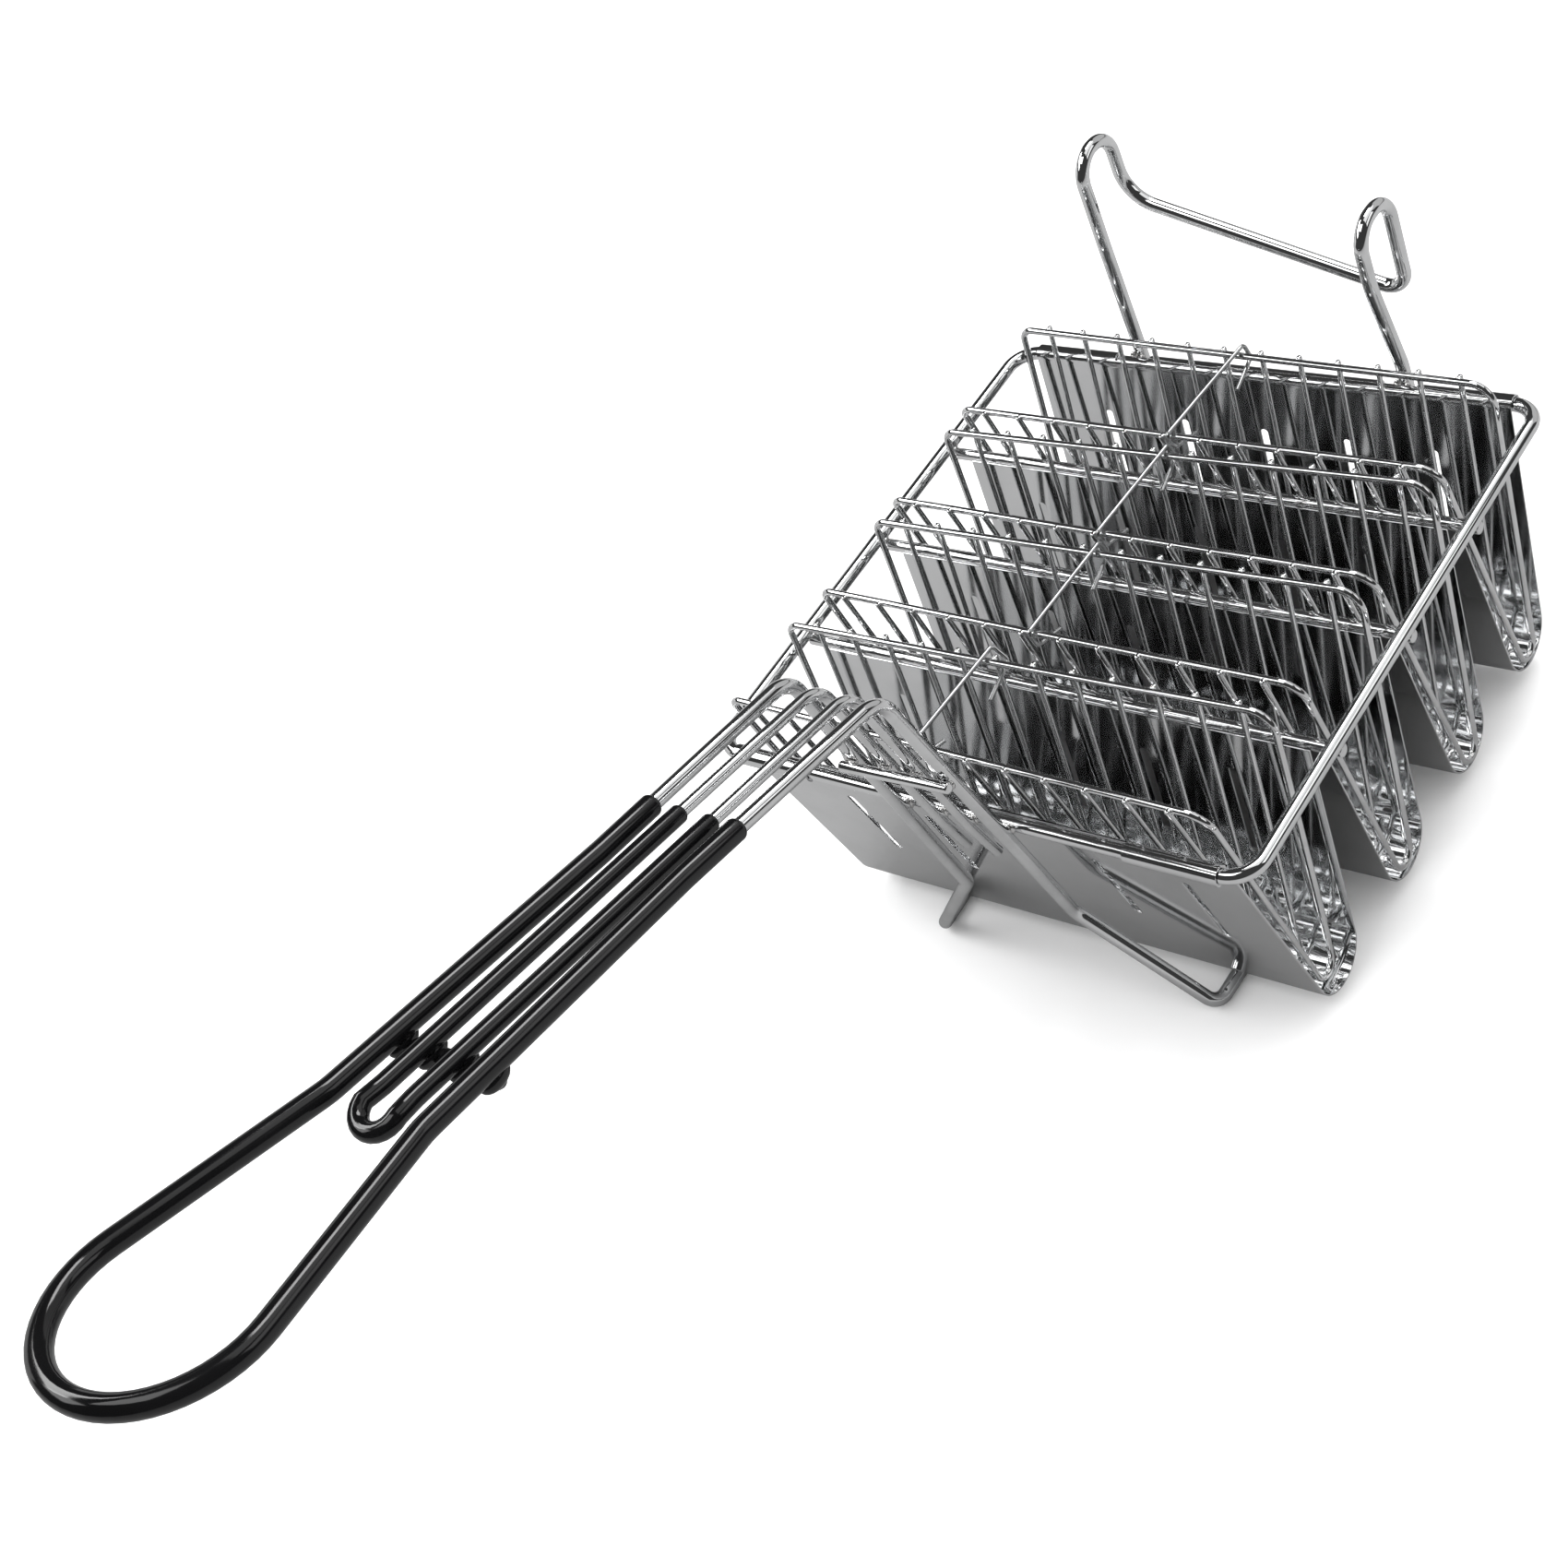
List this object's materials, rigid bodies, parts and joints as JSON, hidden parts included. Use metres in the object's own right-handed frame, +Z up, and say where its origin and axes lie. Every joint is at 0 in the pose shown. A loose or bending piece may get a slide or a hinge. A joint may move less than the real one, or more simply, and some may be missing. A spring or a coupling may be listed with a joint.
{
  "type": "taco shell fry basket",
  "caption": "Wire-framed fry basket with V-shaped pockets, lift-out wire press inserts, a long coated handle and a rear hanging hook.",
  "frame": {"origin": "centre of the bounding footprint, on the surface the feet stand on", "axes": "+X across the pockets, along each trough; +Y from the handle to the rear hook; +Z up"},
  "size_m": [0.215, 0.5542, 0.2502],
  "materials": {
    "bright_wire": "bright polished round wire",
    "mirror_sheet": "mirror-polished thin sheet",
    "tie_wire": "drawn wire, slightly dull",
    "black_vinyl": "glossy dipped coating"
  },
  "bodies": {
    "basket": {"frame_rail": "bright_wire", "ridge_rod_1": "bright_wire", "ridge_rod_2": "bright_wire", "ridge_rod_3": "bright_wire", "trough_1": "mirror_sheet", "trough_2": "mirror_sheet", "trough_3": "mirror_sheet", "trough_4": "mirror_sheet", "outer_handle_wire": "bright_wire", "outer_handle_grip": "black_vinyl", "inner_handle_wire": "bright_wire", "inner_handle_grip": "black_vinyl", "handle_cross_rod": "black_vinyl", "leg_crossbar": "bright_wire", "rear_hook": "bright_wire"},
    "insert_1": {"press_insert_1": "bright_wire", "tie_wire_1": "tie_wire"},
    "insert_2": {"press_insert_2": "bright_wire", "tie_wire_2": "tie_wire"},
    "insert_3": {"press_insert_3": "bright_wire", "tie_wire_3": "tie_wire"},
    "insert_4": {"press_insert_4": "bright_wire", "tie_wire_4": "tie_wire"}
  },
  "joints": [
    {"name": "insert_1_lift", "type": "slide", "parent": "basket", "child": "insert_1", "axis": [0, 0, 1], "range_m": [0, 0.13]},
    {"name": "insert_2_lift", "type": "slide", "parent": "basket", "child": "insert_2", "axis": [0, 0, 1], "range_m": [0, 0.13]},
    {"name": "insert_3_lift", "type": "slide", "parent": "basket", "child": "insert_3", "axis": [0, 0, 1], "range_m": [0, 0.13]},
    {"name": "insert_4_lift", "type": "slide", "parent": "basket", "child": "insert_4", "axis": [0, 0, 1], "range_m": [0, 0.13]}
  ]
}
